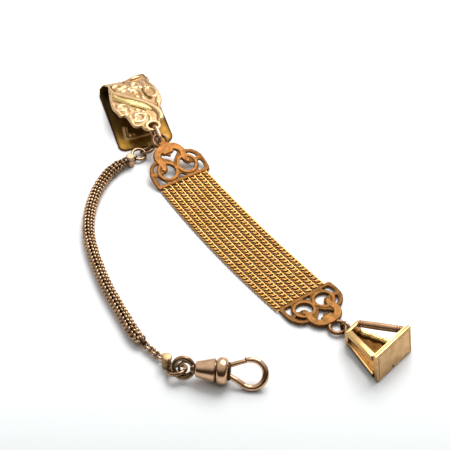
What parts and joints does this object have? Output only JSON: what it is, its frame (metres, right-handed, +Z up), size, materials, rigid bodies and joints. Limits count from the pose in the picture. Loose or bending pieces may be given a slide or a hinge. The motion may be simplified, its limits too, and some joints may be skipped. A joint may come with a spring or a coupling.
{
  "type": "watch chain",
  "caption": "Watch chain with a spring pocket clip, pierced plates on fine strands, a seal, and a woven chain ending in a gated swivel hook.",
  "frame": {"origin": "centre of the bounding box in plan, on the surface that the chain lies on", "axes": "+Z up, +Y from the seal towards the pocket clip, along the strands"},
  "size_m": [0.0749, 0.1667, 0.0106],
  "materials": {
    "clip": "worn rolled gold, embossed",
    "rings": "worn gold wire",
    "plates": "coppery gold, tarnished in the recesses",
    "strands": "polished gold links",
    "seal": "polished gold",
    "caps": "rosy gold",
    "woven_chain": "antique rosy gold",
    "swivel": "polished rosy gold"
  },
  "bodies": {
    "chain": {"clip": "clip", "clip_ring": "rings", "top_plate": "plates", "strand_1": "strands", "strand_2": "strands", "strand_3": "strands", "strand_4": "strands", "strand_5": "strands", "strand_6": "strands", "strand_7": "strands", "strand_8": "strands", "bottom_plate": "plates", "seal_ring": "rings", "seal": "seal", "clip_link": "rings", "upper_ring": "rings", "upper_cap": "caps", "woven_chain": "woven_chain", "lower_cap": "caps", "lower_ring": "rings", "swivel_eye": "swivel"},
    "hook": {"swivel_hook": "swivel", "gate_pin": "swivel"},
    "gate": {"hook_gate": "swivel"}
  },
  "joints": [
    {"name": "hook_swivel", "type": "hinge", "parent": "chain", "child": "hook", "pos_m": [-0.02974, -0.04901, 0.00435], "axis": [0.749, -0.6626, 0], "continuous": true},
    {"name": "gate_hinge", "type": "hinge", "parent": "hook", "child": "gate", "pos_m": [-0.02126, -0.05482, 0.00576], "axis": [0.4924, 0.5566, -0.6691], "range_deg": [0, 28], "stiffness_Nm_per_rad": 0.0002, "springref_deg": -20.05}
  ]
}
